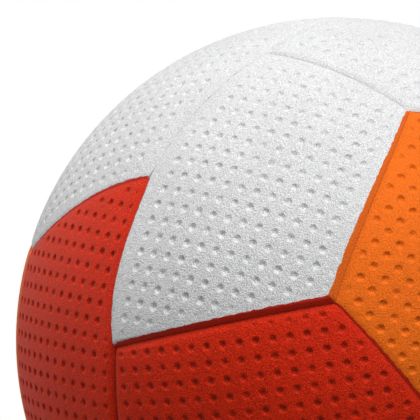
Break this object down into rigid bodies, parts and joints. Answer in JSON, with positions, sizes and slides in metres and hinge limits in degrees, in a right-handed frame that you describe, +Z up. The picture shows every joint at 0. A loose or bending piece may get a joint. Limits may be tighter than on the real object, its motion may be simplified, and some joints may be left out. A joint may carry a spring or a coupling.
{
  "type": "handball",
  "caption": "Soft foam handball with dimpled pentagonal cover panels in white, red and orange over a wound rubber carcass and bladder, with a needle valve whose plug pulls out.",
  "frame": {"origin": "the ball's centre", "axes": "-X along the valve axis, out of the needle inlet; +Z up as in the picture; the long seam lies near the plane X = 0"},
  "size_m": [0.162, 0.1622, 0.1622],
  "materials": {
    "cover_white": "matt foam skin, fine grain",
    "cover_red": "matt foam skin, fine grain",
    "cover_orange": "matt foam skin, fine grain",
    "carcass_rubber": "matt moulded",
    "winding_thread": "wound polyester thread",
    "patch_cloth": "rubberised cloth",
    "bladder_butyl": "smooth butyl",
    "valve_rubber": "smooth moulded",
    "plug_rubber": "smooth moulded"
  },
  "bodies": {
    "ball": {"right_cap_panel": "cover_orange", "left_cap_panel": "cover_orange", "right_side_panel_1": "cover_white", "right_side_panel_2": "cover_red", "right_side_panel_3": "cover_white", "right_side_panel_4": "cover_red", "right_side_panel_5": "cover_white", "left_side_panel_1": "cover_red", "left_side_panel_2": "cover_white", "left_side_panel_3": "cover_red", "left_side_panel_4": "cover_white", "left_side_panel_5": "cover_white", "carcass": "carcass_rubber", "winding": "winding_thread", "valve_patch": "patch_cloth", "bladder": "bladder_butyl", "valve_housing": "valve_rubber"},
    "plug": {"valve_plug": "plug_rubber"}
  },
  "joints": [
    {"name": "plug_pull", "type": "slide", "parent": "ball", "child": "plug", "axis": [-1, 0, 0], "range_m": [0, 0.02]}
  ]
}
